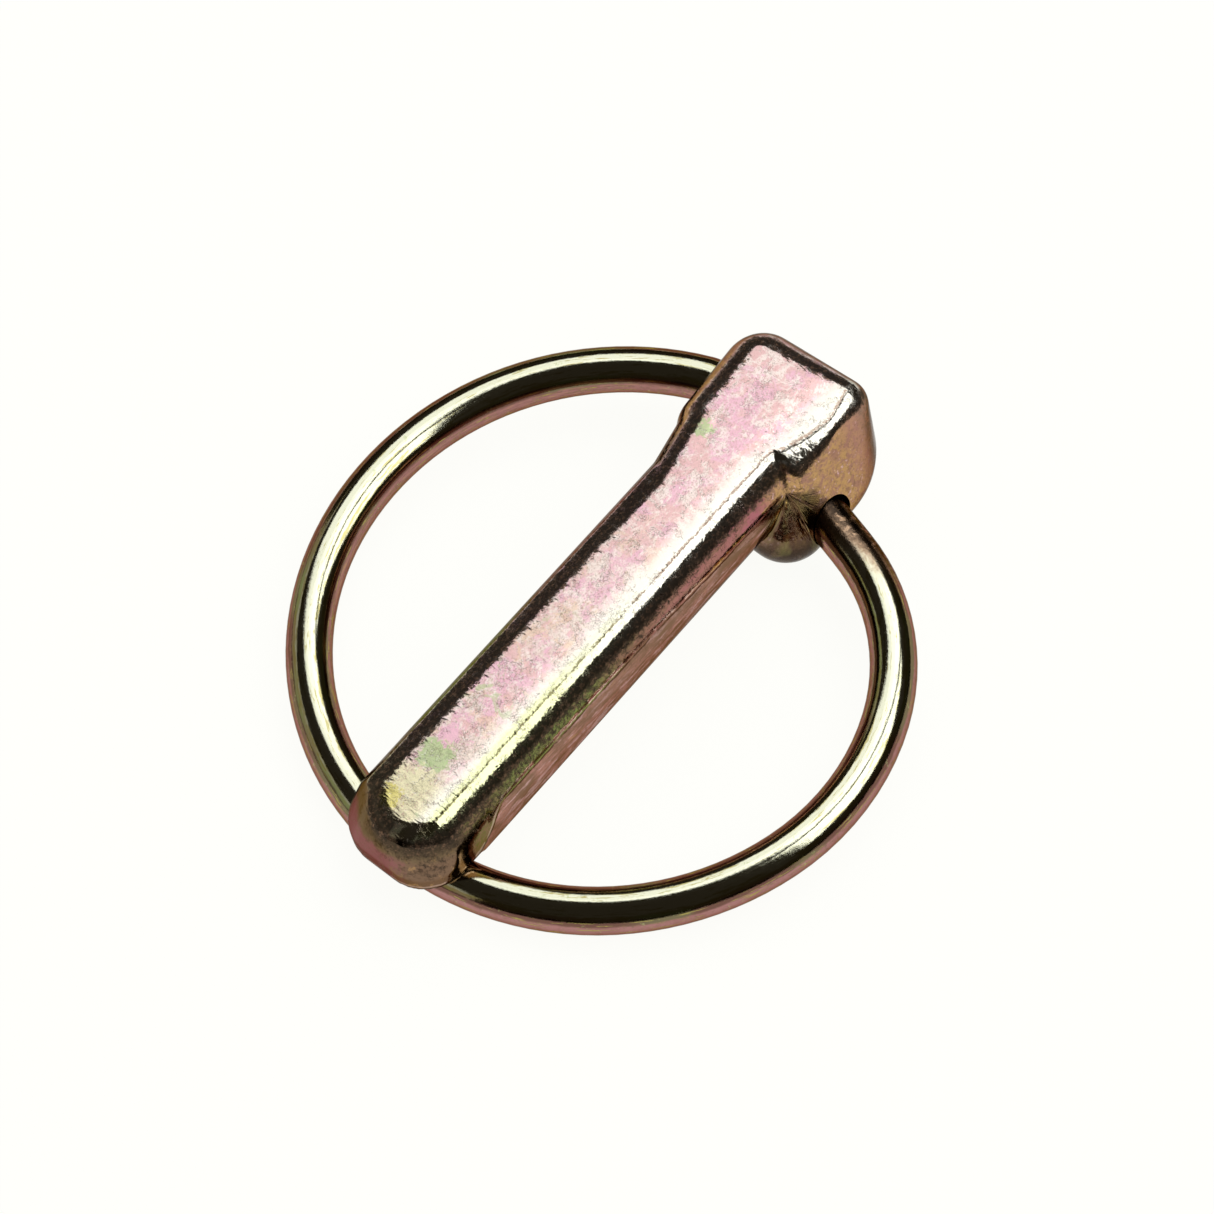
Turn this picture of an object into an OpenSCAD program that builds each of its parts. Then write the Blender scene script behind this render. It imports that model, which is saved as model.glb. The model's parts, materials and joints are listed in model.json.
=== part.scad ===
// Linch pin with a snap ring, lying as it rests on a table.
// Drawn with the shank along +X towards the tip and the flat of the pin upwards,
// then tilted so that the head and the ring both touch the table.
// The origin is on the shank's axis, in the plane where the head seats.

/* [Shank] */
// Diameter of the round shank
shank_d = 11.1; // [9.5:0.1:12.7]
// Height of the forged flat above the shank's axis
flat_height = 4.5; // [4:0.1:5]
// Rounding along both edges of the flat
flat_edge_r = 1.5; // [0.8:0.1:1.6]
// Distance from the seat of the head to the end of the tip
shank_length = 42.6; // [42:0.1:46]
// Rounding of the tip's corners, seen from above
tip_corner_r = 4; // [2:0.2:5]
// Rounding where the flat runs down over the tip
tip_top_r = 3; // [1:0.2:4]
// Length of the ramp behind the ring's seat
seat_ramp = 2.2; // [0.5:0.1:4]

/* [Head] */
// Distance from the seat of the head to its far end
head_length = 16.7; // [15:0.1:20]
// Widest part of the head
head_w = 16.6; // [16:0.1:20]
// Depth of the head below the shank's axis
head_depth = 8.5; // [8.3:0.1:10]
// Height of the widest part, measured from the axis
belly_height = -4.4; // [-4.6:0.1:-3.6]
// Rounding of the head's lower edges
head_belly_r = 3.8; // [3:0.1:4]
// How far the head's top stops short of its far end, on the left
top_setback_left = 2.1; // [1.5:0.1:3]
// The same on the right
top_setback_right = 2; // [1.5:0.1:3]
// Half the width of the head's top at its far end, on the left
top_half_w_left = 6.9; // [5.8:0.1:7.2]
// The same on the right
top_half_w_right = 5.9; // [5.5:0.1:7]
// Rounding of the top's left edge
top_left_r = 2.8; // [2:0.1:3]
// Rounding of the top's right edge at the far end
top_right_r = 1.8; // [1:0.1:2.5]
// Rounding of the top's right edge where the shoulder starts
shoulder_r = 2.4; // [1.5:0.1:3]
// Half the width of the head where the shoulder starts, on the left
shoulder_half_w_left = 6.5; // [5.6:0.1:7]
// The same on the right
shoulder_half_w_right = 6; // [5.6:0.1:7]
// How far the middle of the skewed front face lies behind the seat
seat_setback = 1.3; // [0.5:0.1:2]
// How far behind the seat the shoulder's round edges are centred
shoulder_setback = 5.5; // [5:0.1:7]

/* [Snap ring] */
// Diameter of the spring wire
wire_d = 4; // [3.5:0.1:4.2]
// Radius of the ring's centre line
ring_r = 25.4; // [25:0.1:27]
// Distance of the ring's plane below the shank's axis
ring_drop = 3.4; // [3.2:0.1:3.6]
// Gap between the two wire ends inside the head
end_gap = 4; // [2:0.5:8]
// Radius of the first, gentle part of the right-hand arm
arm_r = 21.7; // [21:0.1:24]
// Radius of the second part, which leads into the head
arm_end_r = 19.3; // [18:0.1:20]
// Radius of the short bend on the left-hand side
bend_r = 2.5; // [2.3:0.1:4]

/* [Cross hole] */
// Diameter of the loose hole through the head
hole_d = 5.2; // [4.8:0.1:5.4]
// Angle by which the hole is skewed from square, which makes the ring snap over
hole_skew = 16; // [8:0.5:18]
// How far the wire lies off the hole's centre, towards the tip
wire_offset = 0.4; // [0:0.05:0.5]

/* [Hidden] */
$fn = 96;
hull_fn = 32;
shank_r = shank_d / 2;
wire_r = wire_d / 2;
hole_r = hole_d / 2;
over = 1;                 // overshoot of the cutting shapes
ring_touch = 0.02;        // the closed ring all but touches the tip above it
joint_swell = 0.01;       // by how much the wire swells where two of its arcs meet
ring_slack = 0.5;         // room between the closed ring and the shank behind it

// The ring's centre line is a chain of arcs. An arc's angles are counted from +Y
// towards -X, and towards(p) is the direction from its centre to its point at p.
function towards(p) = [-sin(p), cos(p)];
arm_start = -15.9;        // where the round ring turns into the right-hand arm
arm_turn = 39.6;          // how far the gentle part of that arm turns
arm_end = 90 - hole_skew; // where the arm comes in line with the cross hole
arm_end_turn = arm_end - arm_start - arm_turn;
arm_centre = (ring_r - arm_r) * towards(arm_start);
arm_end_centre = arm_centre + (arm_r - arm_end_r) * towards(arm_start + arm_turn);
hinge_reach = arm_end_centre * towards(arm_end) + arm_end_r;
bend_turn = acos((hinge_reach - bend_r) / (ring_r - bend_r));
ring_turn = 360 - (arm_end - arm_start) - bend_turn;
bend_centre = (ring_r - bend_r) * towards(arm_end + bend_turn);

// The hinge line through the head, in the ring's plane
hinge_along = [sin(hole_skew), cos(hole_skew)];
hinge_mid = [-hinge_reach / cos(hole_skew), 0];
right_straight = (arm_end_centre + arm_end_r * towards(arm_end) - hinge_mid) * hinge_along;
left_straight = -(bend_centre + bend_r * towards(arm_end) - hinge_mid) * hinge_along;

// The ring's centre, measured from the head's seat, and what follows from it
ring_x = 13.9;
hinge_x = ring_x + hinge_mid[0];
seat_r = ring_r - wire_r - ring_slack;
tongue_under = -ring_drop + wire_r + ring_touch;

// The angle at which the head and the ring both touch the table
rest_tilt = atan2(head_depth - ring_drop - wire_r, ring_x + ring_r + head_length / 2);

module as_it_lies() {
    rotate([0, rest_tilt, 0]) children();
}

// Round bar with a forged flat on top, its two edges rounded
module shank_section() {
    edge_z = flat_height - flat_edge_r;
    edge_y = sqrt(pow(shank_r - flat_edge_r, 2) - pow(edge_z, 2));
    leave = [edge_y, edge_z] / norm([edge_y, edge_z]);
    difference() {
        circle(r = shank_r);
        translate([-shank_r, flat_height]) square([shank_d, shank_r]);
        for (side = [0, 1]) mirror([side, 0]) difference() {
            translate([edge_y, edge_z])
                polygon([[0, 0], [0, shank_r], [shank_r, shank_r], leave * shank_r]);
            translate([edge_y, edge_z]) circle(r = flat_edge_r);
        }
    }
}

// What a rounded corner of radius r leaves to be cut away, seen from the corner's centre
module corner_waste(r) {
    difference() {
        square(r + over);
        circle(r = r);
    }
}

// The two corners of the tip, seen from above, and the edge where the flat runs down over it
module tip_waste() {
    for (side = [0, 1]) mirror([0, side, 0])
        translate([shank_length - tip_corner_r, shank_r - tip_corner_r, -shank_d])
            linear_extrude(2 * shank_d) corner_waste(tip_corner_r);
    translate([shank_length - tip_top_r, shank_d, flat_height - tip_top_r]) rotate([90, 0, 0])
        linear_extrude(2 * shank_d) corner_waste(tip_top_r);
}

// The step under the tip, where the closed ring lies against the tongue
module ring_seat() {
    translate([ring_x, 0, -2 * shank_d]) difference() {
        translate([0, -shank_d, 0]) cube([2 * ring_r, 2 * shank_d, 2 * shank_d + tongue_under]);
        cylinder(r = seat_r, h = 3 * shank_d);
    }
}

// The slope by which the shank's lower half meets the seat
module seat_ramp_cut() {
    ramp_x = ring_x + seat_r;
    rotate([90, 0, 0]) translate([0, 0, -shank_d]) linear_extrude(2 * shank_d)
        polygon([[ramp_x - seat_ramp, -shank_r], [ramp_x, -ring_drop], [ramp_x + over, -ring_drop],
                 [ramp_x + over, -shank_d], [ramp_x - seat_ramp, -shank_d]]);
}

module shank() {
    difference() {
        translate([-head_length / 2, 0, 0]) rotate([90, 0, 90])
            linear_extrude(head_length / 2 + shank_length) shank_section();
        tip_waste();
        ring_seat();
        seat_ramp_cut();
    }
}

// A ball that rounds one corner of the head's top
module top_corner(x, y, r) {
    translate([x, y, flat_height - r]) sphere(r = r, $fn = hull_fn);
}

// Forged head: a round belly below, drawn in to a squarer flat top
module head() {
    belly_inset = head_w / 2 - head_belly_r;
    far_left = top_setback_left + top_left_r - head_length;
    far_right = top_setback_right + top_right_r - head_length;
    hull() {
        translate([head_w / 2 - head_length, 0, belly_height])
            rotate_extrude($fn = 48) translate([belly_inset, 0]) circle(r = head_belly_r, $fn = hull_fn);
        for (y = [-belly_inset, belly_inset])
            translate([y * tan(hole_skew) - head_belly_r - seat_setback, y, belly_height])
                sphere(r = head_belly_r, $fn = hull_fn);
        top_corner(far_left, top_left_r - top_half_w_left, top_left_r);
        top_corner(far_right, top_half_w_right - top_right_r, top_right_r);
        top_corner(-shoulder_setback, top_left_r - shoulder_half_w_left, top_left_r);
        top_corner(-shoulder_setback, shoulder_half_w_right - shoulder_r, shoulder_r);
        translate([-head_length / 2, 0, -head_depth]) cylinder(r1 = 0.5, r2 = 4, h = 1, $fn = hull_fn);
    }
}

// The hole is drilled at a skew and is looser than the wire
module cross_hole() {
    translate([hinge_x, 0, -ring_drop]) rotate([0, 0, -hole_skew]) translate([-wire_offset, 0, 0])
        rotate([90, 0, 0]) cylinder(r = hole_r, h = 2 * head_w, center = true);
}

module pin_body() {
    color([0.86, 0.70, 0.62]) as_it_lies() difference() {
        union() {
            shank();
            head();
        }
        cross_hole();
    }
}

// Arc of wire about the origin, from +X round by the angle turn
module wire_arc(radius, turn) {
    rotate_extrude(angle = turn) translate([radius, 0]) circle(r = wire_r);
}

// The same arc with a ball at each end, for the neighbouring pieces to run into
module joined_arc(radius, turn) {
    wire_arc(radius, turn);
    translate([radius, 0, 0]) sphere(r = wire_r + joint_swell);
    rotate([0, 0, turn]) translate([radius, 0, 0]) sphere(r = wire_r + joint_swell);
}

// Wire from the end of the round ring to its left-hand end in the head
module left_arm() {
    translate([ring_r - bend_r, 0, 0]) rotate([0, 0, -bend_turn]) {
        wire_arc(bend_r, bend_turn);
        translate([bend_r, 0, 0]) {
            sphere(r = wire_r + joint_swell);
            rotate([90, 0, 0]) cylinder(r = wire_r, h = left_straight - end_gap / 2);
        }
    }
}

// Wire from the start of the round ring to its right-hand end in the head
module right_arm() {
    translate([ring_r - arm_r, 0, 0]) {
        wire_arc(arm_r, arm_turn);
        rotate([0, 0, arm_turn]) translate([arm_r - arm_end_r, 0, 0]) {
            joined_arc(arm_end_r, arm_end_turn);
            rotate([0, 0, arm_end_turn]) translate([arm_end_r, 0, 0]) rotate([-90, 0, 0])
                cylinder(r = wire_r, h = right_straight - end_gap / 2);
        }
    }
}

module snap_ring() {
    color([0.72, 0.62, 0.45]) as_it_lies()
    translate([ring_x, 0, -ring_drop]) rotate([0, 0, arm_start + 90]) {
        joined_arc(ring_r, -ring_turn);
        right_arm();
        rotate([0, 0, -ring_turn]) left_arm();
    }
}

pin_body();
snap_ring();
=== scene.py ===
import json
import math
import bmesh
import bpy
from mathutils import Matrix, Vector
from mathutils.kdtree import KDTree


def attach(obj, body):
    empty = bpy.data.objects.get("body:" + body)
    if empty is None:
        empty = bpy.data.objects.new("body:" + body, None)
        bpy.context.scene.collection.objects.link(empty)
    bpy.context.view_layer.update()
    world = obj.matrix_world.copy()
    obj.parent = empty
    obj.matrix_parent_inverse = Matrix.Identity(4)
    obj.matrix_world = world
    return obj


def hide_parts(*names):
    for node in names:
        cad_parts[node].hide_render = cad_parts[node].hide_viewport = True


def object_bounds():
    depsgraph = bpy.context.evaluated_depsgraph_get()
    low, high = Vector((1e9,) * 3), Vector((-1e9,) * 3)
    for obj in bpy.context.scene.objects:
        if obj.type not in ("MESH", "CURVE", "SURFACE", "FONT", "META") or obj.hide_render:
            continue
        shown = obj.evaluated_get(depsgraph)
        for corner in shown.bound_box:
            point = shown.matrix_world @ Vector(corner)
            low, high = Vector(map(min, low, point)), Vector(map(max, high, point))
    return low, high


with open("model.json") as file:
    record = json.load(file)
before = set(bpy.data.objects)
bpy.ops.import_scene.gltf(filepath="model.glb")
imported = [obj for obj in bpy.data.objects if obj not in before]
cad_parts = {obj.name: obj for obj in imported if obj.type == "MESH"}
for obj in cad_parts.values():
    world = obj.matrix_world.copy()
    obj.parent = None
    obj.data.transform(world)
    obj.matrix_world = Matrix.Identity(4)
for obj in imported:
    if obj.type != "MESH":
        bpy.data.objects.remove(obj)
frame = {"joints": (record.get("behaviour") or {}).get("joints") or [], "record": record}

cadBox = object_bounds()
hinge = frame["joints"][0]
shankMount = frame["record"]["mounts"][0]
mm = 0.001

# The pieces are modelled in millimetres along the shank's own axis, level and untilted,
# and are then tipped the way the part lies and brought to metres.
restTilt = math.atan2(-shankMount["axis"][2], shankMount["axis"][0])
asItLies = Matrix.Rotation(restTilt, 4, "Y")
untilt = asItLies.inverted()
hingePoint = untilt @ (Vector(hinge["pos_m"]) / mm)   # middle of the skewed hole
hingeLine = untilt @ Vector(hinge["axis"])
holeSkew = math.atan2(hingeLine.x, hingeLine.y)


def startPiece(name):   # names the primitive that was just added, and selects it alone
    bpy.ops.object.select_all(action="DESELECT")
    piece = bpy.context.active_object
    piece.name = piece.data.name = name
    piece.select_set(True)
    return piece


def startEmpty(name):   # a mesh with nothing in it yet, open in edit mode
    bpy.ops.object.select_all(action="DESELECT")
    bpy.ops.mesh.primitive_plane_add(location=(0, 0, 0))
    piece = startPiece(name)
    bpy.ops.object.mode_set(mode="EDIT")
    bpy.ops.mesh.select_all(action="SELECT")
    bpy.ops.mesh.delete(type="VERT")
    return piece


def pick(piece, test, kind="VERT"):   # selects what passes the test, in edit mode
    bm = bmesh.from_edit_mesh(piece.data)
    bpy.ops.mesh.select_all(action="DESELECT")
    bpy.ops.mesh.select_mode(type=kind)
    for part in {"VERT": bm.verts, "EDGE": bm.edges, "FACE": bm.faces}[kind]:
        if test(part):
            part.select_set(True)
    bm.select_flush_mode()
    bmesh.update_edit_mesh(piece.data)


def extrude(by):   # moves a copy of what is selected, joined to it
    bpy.ops.mesh.extrude_region_move(TRANSFORM_OT_translate={"value": by})


def closePiece():   # turns every face outwards and leaves edit mode
    bpy.ops.mesh.select_all(action="SELECT")
    bpy.ops.mesh.normals_make_consistent(inside=False)
    bpy.ops.object.mode_set(mode="OBJECT")


def finishPiece(piece, node, smoothAngle):   # a node rides on the body of the same name
    bpy.ops.object.select_all(action="DESELECT")
    piece.select_set(True)
    bpy.context.view_layer.objects.active = piece
    piece.matrix_world = asItLies @ Matrix.Scale(mm, 4)
    bpy.ops.object.transform_apply(location=True, rotation=True, scale=True)
    bpy.ops.object.shade_smooth_by_angle(angle=math.radians(smoothAngle))
    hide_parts(node)
    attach(piece, node)
    print("made", piece.name, len(piece.data.polygons), "faces")


ring = {                    # one length of wire, bent round the pin
    "wireRadius": 2.0,
    "radius": 25.4,
    "armRadius": 21.7,      # the gentle part of the right arm
    "armEndRadius": 19.3,   # the tighter part that leads into the head
    "bendRadius": 2.5,      # the short bend on the left
    "armStart": -15.9,      # degrees from +Y towards -X, where the right arm starts
    "armTurn": 39.6,
    "endGap": 4.0,          # between the two ends, inside the head
    "endRim": 0.4,          # width of the band of faces round each end
    "sides": 32,
    "ringStep": 3,          # about how many degrees one step of each arc turns
    "armStep": 4,
    "bendStep": 5,
    "smoothAngle": 40,
}


def towards(turn):   # from an arc's centre to its point that many degrees from +Y towards -X
    return Vector((-math.sin(math.radians(turn)), math.cos(math.radians(turn)), 0))


def ringPath():   # a chain of arcs that meet in line with each other and with the skewed hole
    armEnd = 90 - math.degrees(holeSkew)
    armMid = ring["armStart"] + ring["armTurn"]
    arm = (ring["radius"] - ring["armRadius"]) * towards(ring["armStart"])
    armTail = arm + (ring["armRadius"] - ring["armEndRadius"]) * towards(armMid)
    reach = armTail.dot(towards(armEnd)) + ring["armEndRadius"]
    bendAway = ring["radius"] - ring["bendRadius"]
    bendTurn = math.degrees(math.acos((reach - ring["bendRadius"]) / bendAway))
    bend = bendAway * towards(armEnd + bendTurn)
    ringTurn = 360 - (armEnd - ring["armStart"]) - bendTurn
    middle = Vector((-reach / math.cos(holeSkew), 0, 0))
    centre = hingePoint - middle
    along = Vector((math.sin(holeSkew), math.cos(holeSkew), 0))
    rightEnd = armTail + ring["armEndRadius"] * towards(armEnd)
    leftEnd = bend + ring["bendRadius"] * towards(armEnd)
    return {
        "centre": centre,
        "along": along,
        "rightStraight": (rightEnd - middle).dot(along),
        "leftStraight": -(leftEnd - middle).dot(along),
        "arcs": [   # each one's centre, the angle it turns and the angle of one step
            (centre + armTail, armEnd - armMid, ring["armStep"]),
            (centre + arm, ring["armTurn"], ring["armStep"]),
            (centre, ringTurn, ring["ringStep"]),
            (centre + bend, bendTurn, ring["bendStep"]),
        ],
    }


wirePath = ringPath()


def makeRing():
    along, halfGap = wirePath["along"], ring["endGap"] / 2
    bpy.ops.object.select_all(action="DESELECT")
    bpy.ops.mesh.primitive_circle_add(vertices=ring["sides"], radius=ring["wireRadius"], fill_type="NGON",
                                      location=hingePoint + along * halfGap,
                                      rotation=(math.radians(90), 0, -holeSkew))
    piece = startPiece("snapRing")
    bpy.ops.object.transform_apply(location=True, rotation=True, scale=True)
    bpy.ops.object.mode_set(mode="EDIT")
    bpy.ops.mesh.select_all(action="SELECT")
    bpy.ops.mesh.inset(thickness=ring["endRim"])
    pick(piece, lambda e: e.is_boundary, "EDGE")
    extrude(along * (wirePath["rightStraight"] - halfGap))
    for centre, turn, step in wirePath["arcs"]:
        bpy.ops.mesh.spin(steps=round(turn / step), angle=math.radians(turn), center=centre, axis=(0, 0, 1))
    extrude(along * (wirePath["leftStraight"] - halfGap))
    bpy.ops.mesh.edge_face_add()
    bpy.ops.mesh.inset(thickness=ring["endRim"])
    closePiece()
    finishPiece(piece, "snap_ring", ring["smoothAngle"])
    return piece


snapRing = makeRing()


pin = {                     # one forged piece, from the head to the tongue at the tip
    "shankRadius": shankMount["dims"]["r_mm"],
    "flatHeight": 4.5,
    "length": 42.6,
    "barsFrom": -8,         # the shank's bars start inside the head
    "roundTo": 38.6,        # and its round one ends in the nose
    "roundTop": 3.7,        # that one is cut off above this, under the flat
    "edgesTo": 38.4,        # where the bars along the flat's two edges end
    "edgeRight": 1.5,       # rounding of the flat's right edge along the shank
    "edgeLeft": 3.4,        # the left one is worn down much rounder
    "edgeLeftAt": -1.6,
    "headLength": 16.7,
    "headWidth": 16.6,
    "headDepth": 8.5,
    "bellyHeight": -4.4,
    "bellyRadius": 3.8,
    "seatSetback": 1.3,     # how far the middle of the head's skewed front lies behind the seat
    "foot": (-8.35, -7.5, 0.8),     # the post at the head's lowest spot: along, height of its top and radius
    "noseCorner": 4.0,      # the nose seen from above
    "noseWall": (-1.6, 0.4),        # bottom and top of its upright corners
    "noseTop": (37.3, 0.35, 2.1),   # the flat's half round end: its middle along and across, and its radius
    "noseEdge": (2.95, 2.41),       # rounding of that end's edge, on the left and on the right
    "holeRadius": 2.26,
    "wireOffset": 0.17,     # how far the wire lies off the hole's middle, towards the tip
    "seatRadius": 22.9,
    "tongueUnder": -1.38,
    "rampRun": 2.2,         # slope of the shank's lower half into the seat
    "rampDrop": 2.15,
    "headTop": [            # balls under the head's flat: along, across, radius and radius along the pin
        (-11.2, -3.75, 3.5, 3.7), (-4.8, -3.4, 3.4, 3.4), (-12.4, 3.9, 2.4, 2.5),
        (-10.0, 4.69, 1.41, 1.41), (-8.0, 4.15, 2.25, 2.25), (-5.0, 2.9, 3.6, 1.5),
    ],
    "flare": [              # balls that ease the head's left side into the shank: along, across and radius
        (-6.0, -3.4, 3.3), (-2.4, -2.6, 3.0), (2.5, -1.7, 3.2),
    ],
    "voxel": 0.19,
    "softSteps": 5,
    "smoothAngle": 60,
    "flatFacing": 0.969,    # the flat is what faces up at least this much
    "flatAbove": 3,         # and lies higher than this
}


def addBall(x, y, z, r, along=None):   # along is its radius along the pin, where it isn't round
    bpy.ops.mesh.primitive_uv_sphere_add(segments=48, ring_count=24, radius=r, location=(x, y, z),
                                         scale=((along or r) / r, 1, 1))


def addBar(start, end, y, z, r, count):   # a round bar along the shank
    bpy.ops.mesh.primitive_cylinder_add(vertices=count, radius=r, depth=end - start,
                                        location=((start + end) / 2, y, z), rotation=(0, math.radians(90), 0))


def addPost(x, y, bottom, top, r):   # a round post standing upright
    bpy.ops.mesh.primitive_cylinder_add(vertices=48, radius=r, depth=top - bottom,
                                        location=(x, y, (bottom + top) / 2))


def closeHull(piece):   # a skin drawn tight over all that was added
    bpy.ops.mesh.select_all(action="SELECT")
    bpy.ops.mesh.convex_hull()
    closePiece()
    return piece


def combine(piece, other, how):
    bpy.context.view_layer.objects.active = piece
    mod = piece.modifiers.new(how, "BOOLEAN")
    mod.object = other
    mod.operation = how
    mod.solver = "EXACT"
    bpy.ops.object.modifier_apply(modifier=mod.name)
    bpy.data.objects.remove(other)


def makeHead():   # a round belly below, drawn in to a squarer flat top
    head = startEmpty("head")
    belly, top = pin["bellyRadius"], pin["flatHeight"]
    inset = pin["headWidth"] / 2 - belly
    back = pin["headWidth"] / 2 - pin["headLength"]
    bpy.ops.mesh.primitive_torus_add(major_radius=inset, minor_radius=belly, major_segments=72,
                                     minor_segments=32, location=(back, 0, pin["bellyHeight"]))
    for y in (-inset, inset):
        addBall(y * math.tan(holeSkew) - belly - pin["seatSetback"], y, pin["bellyHeight"], belly)
    for x, y, r, along in pin["headTop"]:
        addBall(x, y, top - r, r, along)
    footAt, footTop, footRadius = pin["foot"]
    addPost(footAt, 0, -pin["headDepth"], footTop, footRadius)
    return closeHull(head)


def makeShank():
    shank = startEmpty("shank")
    radius, top, start = pin["shankRadius"], pin["flatHeight"], pin["barsFrom"]
    addBar(start, pin["roundTo"], 0, 0, radius, count=128)
    pick(shank, lambda v: v.co.z > pin["roundTop"])
    bpy.ops.mesh.delete(type="VERT")
    right, left = pin["edgeRight"], pin["edgeLeft"]
    rightAt = math.sqrt((radius - right) ** 2 - (top - right) ** 2)
    addBar(start, pin["edgesTo"], rightAt, top - right, right, count=64)
    addBar(start, pin["edgesTo"], pin["edgeLeftAt"], top - left, left, count=96)
    corner = pin["noseCorner"]
    for side in (-1, 1):
        addPost(pin["length"] - corner, side * (radius - corner), *pin["noseWall"], corner)
    x, y, reach = pin["noseTop"]
    leftEdge, rightEdge = pin["noseEdge"]
    for turn in range(-90, 91, 18):   # from the left round the end to the right
        r = leftEdge + (rightEdge - leftEdge) * (turn + 90) / 180
        ahead, aside = reach * math.cos(math.radians(turn)), reach * math.sin(math.radians(turn))
        addBall(x + ahead, y + aside, top - r, r)
    return closeHull(shank)


def makeFlare():
    flare = startEmpty("flare")
    for x, y, r in pin["flare"]:
        addBall(x, y, pin["flatHeight"] - r, r)
    return closeHull(flare)


def makeSeatCutter():   # what is cut away under the tip, where the closed ring lies
    centre, under = wirePath["centre"], pin["tongueUnder"]
    reach, ramps, sweep = 10, 3, 60   # its reach outwards, its slope's length in ramps, and degrees it spans
    middle = (centre.x + pin["seatRadius"] + reach / 2, 0, (centre.z + under) / 2)
    cutter = startEmpty("seatCutter")
    # its side profile is an upright step, then a ramp; it is spun about the middle of the ring
    bpy.ops.mesh.primitive_plane_add(size=1, location=middle, rotation=(math.radians(90), 0, 0))
    bpy.ops.transform.resize(value=(reach, 1, under - centre.z), center_override=middle)
    pick(cutter, lambda e: all(v.co.z < middle[2] for v in e.verts), "EDGE")
    extrude((0, 0, -ramps * pin["rampDrop"]))
    pick(cutter, lambda v: v.co.z < centre.z - 1 and v.co.x < middle[0])
    bpy.ops.transform.translate(value=(-ramps * pin["rampRun"], 0, 0))
    bpy.ops.mesh.select_all(action="SELECT")
    bpy.ops.transform.rotate(value=math.radians(-sweep / 2), orient_axis="Z", center_override=centre)
    bpy.ops.mesh.spin(steps=30, angle=math.radians(sweep), center=centre, axis=(0, 0, 1))
    closePiece()
    return cutter


def makeHoleDrill():   # the loose cross hole, drilled at a skew
    back = hingePoint - Vector((math.cos(holeSkew), -math.sin(holeSkew), 0)) * pin["wireOffset"]
    bpy.ops.object.select_all(action="DESELECT")
    bpy.ops.mesh.primitive_cylinder_add(vertices=64, radius=pin["holeRadius"], depth=3 * pin["headWidth"],
                                        location=back, rotation=(math.radians(90), 0, -holeSkew))
    drill = startPiece("holeDrill")
    bpy.ops.object.transform_apply(location=True, rotation=True, scale=True)
    return drill


def soften(piece):   # the forging's soft edges
    bpy.context.view_layer.objects.active = piece
    remesh = piece.modifiers.new("remesh", "REMESH")
    remesh.mode = "VOXEL"
    remesh.voxel_size = pin["voxel"]
    bpy.ops.object.modifier_apply(modifier=remesh.name)
    smooth = piece.modifiers.new("smooth", "SMOOTH")
    smooth.factor = 0.5
    smooth.iterations = pin["softSteps"]
    bpy.ops.object.modifier_apply(modifier=smooth.name)


def makeBody():
    body = makeShank()
    combine(body, makeHead(), "UNION")
    combine(body, makeFlare(), "UNION")
    combine(body, makeSeatCutter(), "DIFFERENCE")
    soften(body)
    combine(body, makeHoleDrill(), "DIFFERENCE")
    body.name = body.data.name = "pinBody"
    finishPiece(body, "pin_body", pin["smoothAngle"])
    return body


pinBody = makeBody()


# Marks on the points, for the finishes: how far each one faces some way, from -1 to 1, or how far in it lies.
def addMark(piece, name, values):
    mark = piece.data.attributes.new(name, "FLOAT", "POINT")
    for point, value in zip(mark.data, values):
        point.value = value


def markFacing(piece):
    points = piece.data.vertices
    addMark(piece, "facingUp", [v.normal.z for v in points])
    addMark(piece, "facingRight", [v.normal.y for v in points])


def markWire(piece):
    points = piece.data.vertices
    centre = asItLies @ wirePath["centre"] * mm
    front = Vector((0.69, 0.72, 0))   # towards the camera's side: half towards the tip's side, half towards the right
    outward = [Vector((v.co.x - centre.x, v.co.y - centre.y, 0)).normalized() for v in points]
    addMark(piece, "facingUp", [v.normal.z for v in points])
    addMark(piece, "facingOut", [v.normal.dot(away) for v, away in zip(points, outward)])
    addMark(piece, "facingCameraSide", [v.normal.dot(front) for v in points])


def markInset(piece):   # millimetres in from the line where the flat turns down, less than 0 beyond it
    points = piece.data.vertices
    flat = [v.normal.z > pin["flatFacing"] and (untilt @ v.co).z > pin["flatAbove"] * mm for v in points]
    trees = {}
    for side in (True, False):
        trees[side] = KDTree(flat.count(side))
        for v in points:
            if flat[v.index] == side:
                trees[side].insert(v.co, v.index)
        trees[side].balance()
    away = [trees[not onFlat].find(v.co)[2] / mm for v, onFlat in zip(points, flat)]
    addMark(piece, "inset", [far if onFlat else -far for far, onFlat in zip(away, flat)])


markFacing(pinBody)
markInset(pinBody)
markWire(snapRing)
print("surfaces marked")


class Socket:   # a node's output that can be written in sums
    def __init__(self, finish, socket):
        self.finish, self.socket = finish, socket

    def math(self, operation, *others): return self.finish.math(operation, self, *others)
    def __add__(self, other): return self.math("ADD", other)
    def __radd__(self, other): return self.math("ADD", other)
    def __sub__(self, other): return self.math("SUBTRACT", other)
    def __rsub__(self, other): return self.finish.math("SUBTRACT", other, self)
    def __mul__(self, other): return self.math("MULTIPLY", other)
    def __rmul__(self, other): return self.math("MULTIPLY", other)

    def ramp(self, low, high):   # 0 below low, 1 above high, smooth between
        return self.finish.node("ShaderNodeMapRange", {"interpolation_type": "SMOOTHSTEP"},
                                {"Value": self, "From Min": low, "From Max": high})

    def within(self, near, far):   # 1 up to near from 0 on either side, 0 beyond far
        return 1 - self.math("ABSOLUTE").ramp(near, far)


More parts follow.
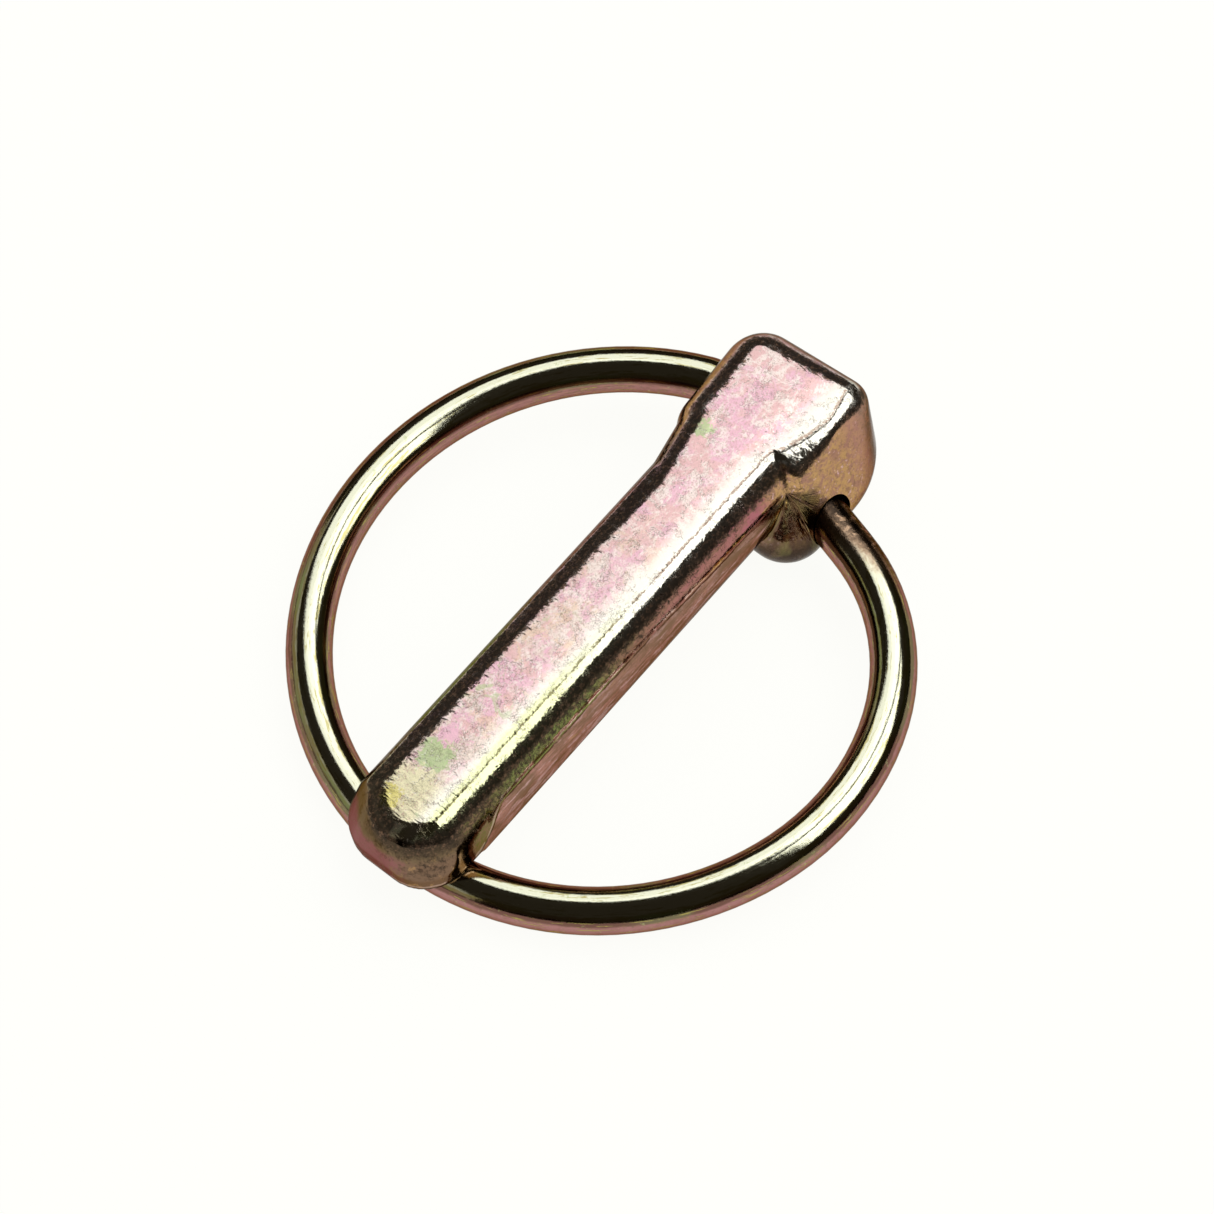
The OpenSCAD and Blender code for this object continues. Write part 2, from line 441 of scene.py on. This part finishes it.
class Finish:   # the nodes of one material, or of the world
    def __init__(self, owner):
        self.owner = owner
        owner.use_nodes = True
        self.tree = owner.node_tree
        self.tree.nodes.clear()

    def node(self, kind, settings=None, inputs=None, output=0):
        made = self.tree.nodes.new(kind)
        for key, value in (settings or {}).items():
            setattr(made, key, value)
        for key, value in (inputs or {}).items():
            if isinstance(value, Socket):
                self.tree.links.new(value.socket, made.inputs[key])
            else:
                made.inputs[key].default_value = value
        return Socket(self, made.outputs[output]) if len(made.outputs) else None

    def math(self, operation, *values):
        return self.node("ShaderNodeMath", {"operation": operation}, dict(enumerate(values)))

    def place(self, scale=(1, 1, 1)):   # millimetres along, across and above the level pin
        spot = self.node("ShaderNodeTexCoord", output="Object")
        level = self.node("ShaderNodeMapping", None, {"Vector": spot, "Scale": [1 / mm] * 3,
                                                      "Rotation": (0, -restTilt, 0)})
        return self.node("ShaderNodeVectorMath", {"operation": "MULTIPLY"}, {0: level, 1: scale})

    def axes(self):
        spot = self.place()
        return [self.node("ShaderNodeSeparateXYZ", None, {0: spot}, output=n) for n in "XYZ"]

    def noise(self, size, detail=3.0, rough=0.5, warp=0.0, stretch=(1, 1, 1), shift=0.0):   # size in mm
        spot = self.place([s / size for s in stretch])
        spot = self.node("ShaderNodeVectorMath", {"operation": "ADD"},
                         {0: spot, 1: (shift, shift * 0.7, shift * 1.3)})
        return self.noiseAt(spot, detail, rough, warp)

    def noiseAt(self, spot, detail, rough, warp=0.0):
        return self.node("ShaderNodeTexNoise", None, {"Vector": spot, "Scale": 1.0, "Detail": detail,
                                                      "Roughness": rough, "Distortion": warp})

    def vector(self, x, y, z):
        return self.node("ShaderNodeCombineXYZ", None, {"X": x, "Y": y, "Z": z})

    def patch(self, at, size, ragged):   # 1 inside a ragged spot
        away = self.node("ShaderNodeVectorMath", {"operation": "DISTANCE"}, {0: self.place(), 1: at},
                         output="Value")
        return 1 - (away + ragged).ramp(size - 0.15, size + 0.15)

    def mark(self, name):
        return self.node("ShaderNodeAttribute", {"attribute_name": name}, output="Fac")

    def blend(self, amount, a, b):
        first, second = [c if isinstance(c, Socket) else (*c, 1.0) for c in (a, b)]
        return self.node("ShaderNodeMix", {"data_type": "RGBA"}, {0: amount, 6: first, 7: second}, output=2)

    def bump(self, height, depth, under=None):   # depth in millimetres, on top of the bump under it
        inputs = {"Height": height, "Strength": 1.0, "Distance": depth * mm}
        if under:
            inputs["Normal"] = under
        return self.node("ShaderNodeBump", None, inputs)

    def metal(self, colour, roughness, normal, edge, metalShare=1.0):   # the last is how much of it is metal; less where a painted dark reflection or painted shade lies over it
        return self.show(self.node("ShaderNodeBsdfPrincipled", None, {
            "Base Color": colour, "Metallic": metalShare, "Roughness": roughness, "Normal": normal,
            "IOR": 1.25,   # of the share that is not metal, low so that it is dull
            "Specular Tint": (*edge, 1.0)}))

    def show(self, surface, kind="ShaderNodeOutputMaterial"):
        self.node(kind, None, {"Surface": surface})
        return self.owner


bodyLook = {
    "pink": (0.74, 0.45, 0.53),
    "rose": (0.71, 0.46, 0.45),
    "cream": (0.82, 0.73, 0.67),
    "bright": (0.88, 0.86, 0.80),
    "amber": (0.72, 0.54, 0.38),
    "beige": (0.71, 0.62, 0.53),
    "tan": (0.48, 0.32, 0.27),
    "umber": (0.27, 0.17, 0.12),
    "green": (0.44, 0.53, 0.28),
    "gold": (0.68, 0.60, 0.20),
    "straw": (0.72, 0.67, 0.44),
    "highlightCream": (0.74, 0.72, 0.63),
    "edgeLime": (0.66, 0.68, 0.40),
    "reflectedDark": (0.045, 0.033, 0.022),
    "headGold": (0.50, 0.30, 0.13),
    "headRose": (0.37, 0.20, 0.14),
    "headBrown": (0.22, 0.13, 0.08),
    "nearBlack": (0.05, 0.032, 0.02),
    "sideRose": (0.42, 0.21, 0.17),
    "sidePink": (0.40, 0.14, 0.16),
    "sideTan": (0.36, 0.165, 0.135),
    "sideOlive": (0.17, 0.15, 0.055),
    "sideGreen": (0.215, 0.26, 0.075),
    "sideBrown": (0.25, 0.145, 0.10),
    "back": (0.19, 0.145, 0.105),
    "nose": (0.27, 0.115, 0.11),
    "noseOlive": (0.18, 0.125, 0.07),
    "seam": (0.04, 0.025, 0.015),
    "seamGold": (0.75, 0.48, 0.16),
    "seamRose": (0.95, 0.70, 0.60),
    "glancing": (0.38, 0.34, 0.31),   # tint of what is seen edge on
    "patches": [                      # where the plating has turned: place, size and colour
        ((33.6, -0.9, 4.5), 1.5, "green"), ((38.6, -1.6, 4.4), 1.0, "gold"),
        ((-3.0, -3.0, 4.4), 0.9, "green"), ((31.5, -1.2, 4.5), 0.9, "pink"),
        ((36.0, -0.4, 4.5), 1.1, "straw"),
    ],
}


def flatColour(f, look, along, across):   # pale pink over the head, straw towards the tip, mottled
    cloud = f.noise(3.2, 4, 0.65, 0.6)
    spot = f.noise(1.25, 6, 0.8, 0.4, shift=3)
    fine = f.noise(0.28, 4, 0.75, shift=41)
    flat = f.blend(cloud.ramp(0.44, 0.54), look["rose"], look["pink"])
    flat = f.blend(spot.ramp(0.46, 0.58) * 0.85, flat, look["cream"])
    beiger = along.ramp(2, 26) * f.noise(3.4, 6, 0.78, 0.6, shift=77).ramp(0.46, 0.55)
    flat = f.blend(beiger * 0.75, flat, look["beige"])
    warmer = f.noise(2.4, 6, 0.8, 0.5, shift=63).ramp(0.53, 0.60) * along.ramp(3, 12)
    flat = f.blend(warmer * 0.6, flat, look["amber"])
    flat = f.blend((along + cloud * 6 + spot * 4).ramp(39.2, 41.5), flat, look["straw"])
    flat = f.blend(fine.ramp(0.53, 0.66) * spot.ramp(0.36, 0.52) * 0.7, flat, look["tan"])
    grain = f.noise(0.17, 2, 0.7, shift=91)
    flat = f.blend(grain.ramp(0.50, 0.66) * (0.25 + cloud.ramp(0.35, 0.6) * 0.4), flat, look["tan"])
    flat = f.blend((1 - fine.ramp(0.30, 0.42)) * cloud.ramp(0.46, 0.56), flat, look["cream"])
    greener = f.noise(2.2, 4, 0.65, 0.8, shift=55).ramp(0.60, 0.66) * along.ramp(12, 24)
    flat = f.blend(greener * 0.6, flat, look["green"])
    ragged = f.noise(0.8, 5, 0.8, 0.6, shift=12) * 4.0 - 2.0
    for at, size, colour in look["patches"]:
        flat = f.blend(f.patch(at, size, ragged) * (0.6 + fine * 0.6), flat, look[colour])
    # it is painted paler towards the rolled right edge, a painted highlight, and that edge turns lime nearer
    # the tip
    rightHighlight = (across + cloud * 2.0 + along.ramp(-6, -2) * 1.2).ramp(2.9, 4.9)
    flat = f.blend(rightHighlight, flat, look["highlightCream"])
    limier = (along + cloud * 16).ramp(18, 34) * (across + fine).ramp(2.6, 3.2)
    return f.blend(limier, flat, look["edgeLime"])


def shankColour(f, look, along, across, seam, fine, streak):   # pink to olive above the parting line
    drawn = f.noise(0.45, 4, 0.7, 0.3, stretch=(0.16, 1, 1), shift=57)
    # the left side takes the darker back colour, partly painted shade
    upper = f.blend(across.ramp(-1, 1), look["back"], look["sidePink"])
    upper = f.blend((along + streak * 10).ramp(6, 11), upper, look["sideTan"])
    upper = f.blend((along + streak * 26).ramp(23, 36), upper, look["sideOlive"])
    upper = f.blend(fine.ramp(0.45, 0.6) * 0.35, upper, look["sideTan"])
    upper = f.blend(drawn.ramp(0.50, 0.60) * 0.6, upper, look["headBrown"])
    greenish = (along + streak * 8).ramp(21, 26) * (1 - along.ramp(31, 34)) * (0.55 + drawn * 0.6)
    upper = f.blend(greenish, upper, look["sideGreen"])
    pinker = (1 - drawn.ramp(0.38, 0.46)) * along.ramp(2, 8) * (1 - along.ramp(24, 30))
    upper = f.blend(pinker * 0.4, upper, look["sidePink"])
    # streaks of brown, rose and gold below it
    lower = f.blend(streak.ramp(0.38, 0.62), look["sideBrown"], look["sideRose"])
    lower = f.blend(drawn.ramp(0.51, 0.60) * 0.75, lower, look["headBrown"])
    lower = f.blend((1 - drawn.ramp(0.38, 0.47)) * 0.55, lower, look["rose"])
    lower = f.blend(streak.ramp(0.58, 0.68) * 0.4, lower, look["headGold"])
    lower = f.blend(seam.ramp(-1.5, -0.6) * (1 - along.ramp(20, 27)) * 0.5, lower, look["headBrown"])
    return f.blend(seam.ramp(-0.1, 0.1), lower, upper)


def headColour(f, look, along, fine, streak, mottle):   # gold and rose sides; the back is browner and darker, partly its own tone and partly painted shade
    side = f.blend(mottle.ramp(0.40, 0.56), look["headRose"], look["headGold"])
    side = f.blend(f.noise(0.5, 4, 0.75, shift=67).ramp(0.52, 0.66) * 0.6, side, look["headBrown"])
    side = f.blend(f.noise(0.4, 2, 0.6, shift=87).ramp(0.62, 0.7) * 0.7, side, look["rose"])
    side = f.blend((0 - along + streak * 5).ramp(11, 14) * 0.6, side, look["sideRose"])
    back = f.blend(mottle.ramp(0.40, 0.60), look["back"], look["headRose"])
    back = f.blend(fine.ramp(0.48, 0.62) * 0.5, back, look["headBrown"])
    return f.blend((0 - along + mottle * 3).ramp(12.9, 14.5), side, back)


def noseColour(f, look, across, above, streak, mottle):   # rosy below, olive above and on the right
    nose = f.blend((above + streak * 1.4).ramp(2.3, 3.1), look["nose"], look["noseOlive"])
    nose = f.blend((across + mottle * 5).ramp(3.6, 5.4) * 0.8, nose, look["noseOlive"])
    nose = f.blend(mottle.ramp(0.54, 0.62) * across.ramp(0.5, 3.5) * 0.5, nose, look["headGold"])
    # darker towards the top and the right of the nose front
    darkerHigh = (1 - f.noise(0.7, 5, 0.75, shift=83).ramp(0.38, 0.5)) * (above + across * 0.3).ramp(0.5, 3.0)
    nose = f.blend(darkerHigh * 0.8, nose, look["nearBlack"])
    # a painted dark reflection round the end of the flat
    band = (above + mottle * 2.4).ramp(3.2, 4.2) * (across + mottle * 2).ramp(-2.5, 1.5)
    return f.blend(band * 0.85, nose, look["reflectedDark"])


def sideColour(f, look, along, across, above, seam):   # all that isn't the flat
    fine = f.noise(0.35, 3, 0.65, shift=43)
    streak = f.noise(1.3, 5, 0.72, 0.2, stretch=(0.45, 1, 1), shift=14)
    mottle = f.noise(0.9, 6, 0.75, 0.6, shift=61)
    head = headColour(f, look, along, fine, streak, mottle)
    shank = shankColour(f, look, along, across, seam, fine, streak)
    side = f.blend((along + mottle * 5).ramp(0.2, 2.2), head, shank)
    # the belly under the head is painted dark: painted shade
    belly = (1 - (above + mottle * 1.2).ramp(-3.2, -1.6)) * (along + mottle * 1.5).ramp(-5.6, -4.2)
    belly = belly * (1 - along.ramp(0.6, 1.6))
    dark = f.blend(mottle.ramp(0.5, 0.6) * 0.6, look["nearBlack"], look["headBrown"])
    side = f.blend(belly * (0.65 + mottle * 0.45), side, dark)
    onNose = (along + across.math("ABSOLUTE") * 0.35).ramp(38.2, 39.2)
    side = f.blend(onNose, side, noseColour(f, look, across, above, streak, mottle))
    return f.blend(fine.ramp(0.55, 0.68) * 0.5, side, look["headBrown"])


def bodyFinish():
    f, look = Finish(bpy.data.materials.new("yellowChromateForged")), bodyLook
    along, across, above = f.axes()
    up, right = f.mark("facingUp"), f.mark("facingRight")
    onShank, onHead = along.ramp(6, 12), 1 - along.ramp(-7, -1)
    # seam is the height over the parting line, and roll about how far the surface has turned from the flat
    seam = above - 1.65 - along.ramp(4, 14) * 0.35 + along.ramp(32.3, 37) * 3.1
    roll = ((1 - up).math("MAXIMUM", 0.0) * 2).math("POWER", 0.5)
    hair = f.noise(0.5, 6, 0.8, 0.5, stretch=(1, 0.4, 1), shift=23) - 0.5   # frays the borders
    # the sides are painted much darker than the flat: partly the plating's own tints, partly painted shade
    # for the dimmer floor they reflect
    colour = f.blend((up + right * 0.1 + hair * 0.1).ramp(0.66, 0.84),
                     sideColour(f, look, along, across, above, seam), flatColour(f, look, along, across))

    # painted dark reflection: ragged dark borders round the flat, where its rolled edges reflect the dark
    # room, and one a little below its right edge
    inset = f.mark("inset") + hair * (3.4 + onHead * 1.2) - onHead * 0.2 + along.ramp(-6, 12) * 0.25
    paintedDark = (1 - inset.ramp(-0.05, 0.07)) * (1 - right.ramp(0.02, 0.14))
    paintedDark = paintedDark * (1 - (roll + hair * 0.7 - along.ramp(37, 39) * across.ramp(-5, -1) * 0.4).ramp(0.52, 0.66))
    rightPaintedDark = (roll + hair * 1.3).ramp(0.66, 0.72)
    rightPaintedDark = rightPaintedDark * (1 - (roll + hair * 0.6 - along.ramp(8, 24) * 0.08).ramp(0.90, 1.03))
    paintedDark = paintedDark + rightPaintedDark * right.ramp(0.3, 0.45)
    paintedDarkColour = f.blend(f.noise(0.35, 3, 0.7, shift=47).ramp(0.5, 0.7), look["reflectedDark"], look["headBrown"])
    colour = f.blend(paintedDark * 0.96, colour, paintedDarkColour)

    # the fine broken line before the right edge
    tick = f.noise(0.2, 3, 0.7, shift=53) - 0.5
    line = (roll - 0.19 + hair * 0.3 + tick * 0.3).within(0.03, 0.065) * right.ramp(0.07, 0.12)
    line = line * f.noise(1.3, 4, 0.7, shift=29).ramp(0.38, 0.48)
    colour = f.blend(line * 0.85, colour, f.blend(along.ramp(8, 20), look["umber"], look["sideOlive"]))

    # folds that fan out from the notch under the head's right shoulder; their dark is painted shade under the
    # shoulder, with olive and gold on the folds
    fanTurn = (above - 1.8).math("ARCTAN2", along + 3.4)
    fan = f.noiseAt(f.vector(fanTurn * 3.2, above * 0.12, across * 0.12), 4.0, 0.65)
    folded = (along + hair).ramp(-6.2, -4.2) * (1 - along.ramp(-1.2, 0.6))
    folded = folded * across.ramp(2.5, 4.0) * (1 - above.ramp(0.8, 1.8))
    colour = f.blend(folded * 0.75, colour, f.blend(fan.ramp(0.42, 0.56), look["nearBlack"], look["sideOlive"]))
    colour = f.blend(folded * fan.ramp(0.60, 0.64) * 0.8, colour, look["seamGold"])

    # the parting line: a painted dark reflection just below its ridge, with a painted highlight above it that
    # is gold by the head and rosy further on
    onSeam = along.ramp(-2.5, 0.5) * (1 - up.ramp(0.7, 0.8))
    ripple = f.noise(0.6, 3, 0.6, shift=17) * 0.3 - 0.15
    parting = (seam + ripple + 0.05).within(0.04, 0.12) * onSeam
    parting = parting * f.noise(1.8, 4, 0.7, shift=9).ramp(0.36, 0.5)
    shine = (seam + ripple - 0.30).within(0.08, 0.20) * onSeam
    shine = shine * f.noise(2.0, 3, 0.6, shift=8).ramp(0.40, 0.50)
    shiny = f.blend(along.ramp(5, 10), look["seamGold"], look["seamRose"])
    colour = f.blend(shine * (0.9 - along.ramp(29, 33) * 0.6), colour, shiny)
    colour = f.blend(parting * 0.75, colour, look["seam"])

    # crackled plating, with pale flecks beside the cracks on the flat
    crackle = f.noise(2.0, 6, 0.72, 0.2, shift=21)
    broken = f.noise(1.5, 4, 0.7, shift=31).ramp(0.44, 0.56)
    veins = (crackle - 0.5).within(0.0, 0.009) * broken
    veins = veins + (crackle - 0.44).within(0.0, 0.006) * broken * 0.7
    flecks = (crackle - 0.515).within(0.0, 0.008) * broken * up.ramp(0.9, 0.97)
    colour = f.blend(flecks * 0.7, colour, look["bright"])
    colour = f.blend(veins * 0.7, colour, look["umber"])

    # relief: the right edge rolls off, the left one stands a little higher along the shank, the worn edges
    # ripple, the parting line and the folds stand up, and the cracks are sunk
    normal = f.bump(across.ramp(0.6, 5.0), -0.2)
    normal = f.bump(f.noise(0.95, 4, 0.6, 0.3, shift=8), 0.016, normal)
    normal = f.bump(across.ramp(-3.2, -2.2) * onShank, -0.09, normal)
    worn = (0.15 + roll.ramp(0.08, 0.22) * (1 - roll.ramp(0.7, 1.1))) * (1 - right.ramp(0.05, 0.3) * 0.5)
    worn = worn * (0.5 + along.ramp(-2, 1) * 0.5)
    wave = f.noise(0.5, 1, 0.5, 0.5, stretch=(1, 0.4, 1), shift=23)
    normal = f.bump(wave * worn, 0.06, normal)
    ridge = seam.ramp(-0.12, 0.12) * (1 - seam.ramp(0.2, 1.4)) * along.ramp(-4, 1)
    normal = f.bump(ridge, 0.05, normal)
    normal = f.bump(fan * folded, 0.16, normal)
    normal = f.bump(veins, -0.003, normal)

    matte = (1 - across.ramp(1.2, 2.6)) * up.ramp(0.7, 0.9)   # the flat is duller than the rolled edge
    rough = 0.06 + f.noise(0.35, 3, 0.6, shift=2) * 0.06 + matte * 0.08
    under = (1 - above.ramp(-4.5, -2)) * along.ramp(-6, -4.5)   # the belly's front, made less metal so that it shows darker: painted shade
    under = under * (1 - along.ramp(0.6, 1.6)) * across.ramp(1, 3)
    return f.metal(colour, rough + paintedDark * 0.06, normal, look["glancing"], 1 - paintedDark * 0.3 - under * 0.65)


wireLook = {
    "top": (0.68, 0.68, 0.50),
    "glint": (0.74, 0.75, 0.58),
    "lime": (0.44, 0.50, 0.22),
    "pink": (0.40, 0.20, 0.19),
    "mauve": (0.34, 0.165, 0.15),
    "brown": (0.17, 0.085, 0.065),
    "tan": (0.46, 0.36, 0.20),
    "gold": (0.42, 0.36, 0.10),
    "olive": (0.185, 0.15, 0.085),
    "copper": (0.42, 0.24, 0.14),
    "dark": (0.05, 0.035, 0.025),
    "glancing": (0.45, 0.38, 0.32),   # tint of what is seen edge on
}


def wireFinish():
    f, look = Finish(bpy.data.materials.new("yellowChromateWire")), wireLook
    along, across = f.axes()[:2]
    up, out = f.mark("facingUp"), f.mark("facingOut")
    ragged = f.noise(0.5, 4, 0.7, 0.5, shift=11) - 0.5
    # how far it faces up, tipped towards the camera's side; the bands painted from it are painted highlight
    # and painted shade
    level = up + f.mark("facingCameraSide") * 0.25 + f.noise(3.0, 3, 0.6, shift=4) * 0.16 - 0.08 + ragged * 0.05

    # the wire's sides, with streaks drawn the long way round the ring
    turn = across.math("ARCTAN2", along - wirePath["centre"].x)
    drawn = f.noiseAt(f.vector(turn * 10, up * 9, out * 9), 5.0, 0.75)
    inside = 1 - out.ramp(-0.5, 0.1)
    colour = f.blend(out.ramp(-0.3, 0.3), look["mauve"], look["pink"])
    colour = f.blend(f.noise(1.6, 5, 0.72, 0.4, shift=71).ramp(0.42, 0.62) * 0.7, colour, look["mauve"])
    colour = f.blend(f.noise(0.45, 3, 0.7, shift=73).ramp(0.55, 0.70) * 0.5, colour, look["olive"])
    colour = f.blend(drawn.ramp(0.48, 0.60) * (0.35 + inside * 0.5), colour, look["brown"])
    colour = f.blend((1 - drawn.ramp(0.36, 0.44)) * inside, colour, look["copper"])

    # its top, painted paler step by step as a painted highlight with a painted glint at the very top, and
    # greener in some stretches
    greener = f.noise(11, 2, 0.5, shift=6).ramp(0.46, 0.56)
    colour = f.blend(level.ramp(0.50, 0.62), colour, f.blend(greener, look["brown"], look["olive"]))
    colour = f.blend(level.ramp(0.74, 0.81), colour, f.blend(greener, look["tan"], look["lime"]))
    colour = f.blend(level.ramp(0.84, 0.90), colour, look["top"])
    colour = f.blend((up + ragged * 0.1).ramp(0.93, 0.97) * 0.7, colour, look["glint"])
    edge = level.ramp(0.80, 0.84) * (1 - level.ramp(0.90, 1.0))
    colour = f.blend((drawn + edge * 0.08).ramp(0.56, 0.62) * 0.75, colour, look["gold"])
    colour = f.blend(f.noise(0.7, 5, 0.75, shift=19).ramp(0.60, 0.68) * 0.45, colour, look["lime"])

    # where it runs into the head: a painted reflection of the dark head, coppery and then dark
    headReflection = (1 - (along + ragged * 2).ramp(-4.8, -2.6)) * across.ramp(4.0, 5.0)
    headReflectionDark = (1 - (along + ragged * 2.5).ramp(-6.0, -3.2)) * across.ramp(4.0, 5.0)
    colour = f.blend(headReflection * level.ramp(0.6, 0.8) * 0.85, colour, look["copper"])
    colour = f.blend(headReflectionDark * f.noise(0.6, 4, 0.7, shift=37).ramp(0.36, 0.50), colour, look["dark"])

    rough = 0.05 + f.noise(0.5, 3, 0.6, shift=2) * 0.07 + headReflection * 0.12
    normal = f.bump(f.noise(0.5, 4, 0.6), 0.006)
    normal = f.bump(drawn, 0.005, normal)
    normal = f.bump(ragged * headReflection, 0.03, normal)
    return f.metal(colour, rough, normal, look["glancing"])


for piece, material in ((pinBody, bodyFinish()), (snapRing, wireFinish())):
    piece.data.materials.clear()
    piece.data.materials.append(material)
print("finishes ready")


studio = {                  # a white floor and world, and one window of soft light in a dark room
    "white": (1.0, 1.0, 0.965),
    "floorColour": (0.92, 0.92, 0.91),
    "floorGlow": 1.02,
    "floorWhite": 0.93,     # how much of the floor is plain white; the rest takes the shadow
    "floorRadius": 4,
    "worldLight": 0.45,
    "roomColour": (0.02, 0.016, 0.012),
    "roomRadius": 2.5,
    "cardColour": (0.36, 0.34, 0.30),
    "cardFrom": -0.3,       # the card is all of the room ahead of this, along the pin,
    "cardTo": -0.1,         # left of this, across it,
    "cardTop": 1.3,         # and lower than this
    "lightHeight": 1.0,     # of the softboxes over the part
    "softboxes": [          # from and to across the part, from and to along it, and how bright
        (-1.06, -0.37, -1.40, -0.17, 1.22),
        (-0.37, -0.16, -1.35, -0.17, 1.55),
        (-0.16, 0.13, -1.30, -0.17, 1.85),
        (0.235, 1.30, -1.05, -0.10, 2.0),
    ],
    "lens": 145.46,
    "cameraAt": (0.15619, 0.14806, 0.35110),
    "cameraTurn": (30.1823, 3.2531, 130.51),
}


def seenWhite(f, share):   # how much of a surface is plain white to the camera and in reflections
    rays = ("Is Camera Ray", "Is Glossy Ray", "Is Transmission Ray")
    camera, glossy, through = [f.node("ShaderNodeLightPath", output=ray) for ray in rays]
    return (camera + glossy + through).math("MINIMUM", 1.0) * share


def makeFloor():
    f = Finish(bpy.data.materials.new("whiteFloor"))
    plain = f.node("ShaderNodeBsdfDiffuse", None, {"Color": (*studio["floorColour"], 1)})
    white = f.node("ShaderNodeEmission", None, {"Color": (*studio["white"], 1),
                                                "Strength": studio["floorGlow"]})
    mixed = f.node("ShaderNodeMixShader", None, {0: seenWhite(f, studio["floorWhite"]), 1: plain, 2: white})
    bpy.ops.object.select_all(action="DESELECT")
    bpy.ops.mesh.primitive_circle_add(vertices=96, radius=studio["floorRadius"], fill_type="NGON",
                                      location=(0, 0, cadBox[0][2]))
    floor = startPiece("floor")
    floor.data.materials.append(f.show(mixed))


def makeWorld():
    f = Finish(bpy.data.worlds.new("studio"))
    soft = f.node("ShaderNodeBackground", None, {"Color": (1, 1, 1, 1), "Strength": studio["worldLight"]})
    white = f.node("ShaderNodeBackground", None, {"Color": (*studio["white"], 1), "Strength": 1.0})
    mixed = f.node("ShaderNodeMixShader", None, {0: seenWhite(f, 1.0), 1: soft, 2: white})
    bpy.context.scene.world = f.show(mixed, "ShaderNodeOutputWorld")


def plainGlow(name, colour):
    f = Finish(bpy.data.materials.new(name))
    return f.show(f.node("ShaderNodeEmission", None, {"Color": (*colour, 1)}))


def onCard(face):
    x, y, z = face.calc_center_median()
    return x > studio["cardFrom"] and y < studio["cardTo"] and z < studio["cardTop"]


def makeRoom():   # a dark dome that only reflections see, with a dim card low on its left
    bpy.ops.object.select_all(action="DESELECT")
    bpy.ops.mesh.primitive_uv_sphere_add(segments=72, ring_count=36, radius=studio["roomRadius"],
                                         location=(0, 0, cadBox[0][2]))
    room = startPiece("darkRoom")
    room.data.materials.append(plainGlow("darkRoom", studio["roomColour"]))
    room.data.materials.append(plainGlow("frontCard", studio["cardColour"]))
    bpy.ops.object.mode_set(mode="EDIT")
    pick(room, lambda v: v.co.z < -0.01)   # the half below the floor
    bpy.ops.mesh.delete(type="VERT")
    pick(room, onCard, "FACE")
    room.active_material_index = 1
    bpy.ops.object.material_slot_assign()
    bpy.ops.object.mode_set(mode="OBJECT")
    room.visible_camera = room.visible_diffuse = room.visible_shadow = room.visible_transmission = False


def makeLights():
    for n, (left, right, back, front, level) in enumerate(studio["softboxes"]):
        lamp = bpy.data.lights.new(f"softbox{n}", "AREA")
        lamp.shape = "RECTANGLE"
        lamp.size, lamp.size_y = front - back, right - left
        lamp.energy = level * math.pi * lamp.size * lamp.size_y
        holder = bpy.data.objects.new(lamp.name, lamp)
        middle = ((front + back) / 2, (left + right) / 2, studio["lightHeight"])
        holder.matrix_world = asItLies @ Matrix.Translation(middle)
        holder.visible_camera = False
        bpy.context.scene.collection.objects.link(holder)


def makeCamera():
    camera = bpy.data.cameras.new("camera")
    camera.lens, camera.sensor_width = studio["lens"], 36
    camera.clip_start = 0.01
    holder = bpy.data.objects.new("camera", camera)
    holder.location = studio["cameraAt"]
    holder.rotation_euler = [math.radians(a) for a in studio["cameraTurn"]]
    bpy.context.scene.collection.objects.link(holder)
    bpy.context.scene.camera = holder


makeFloor()
makeWorld()
makeRoom()
makeLights()
makeCamera()
bpy.context.scene.view_settings.view_transform = "Standard"
print("studio ready")
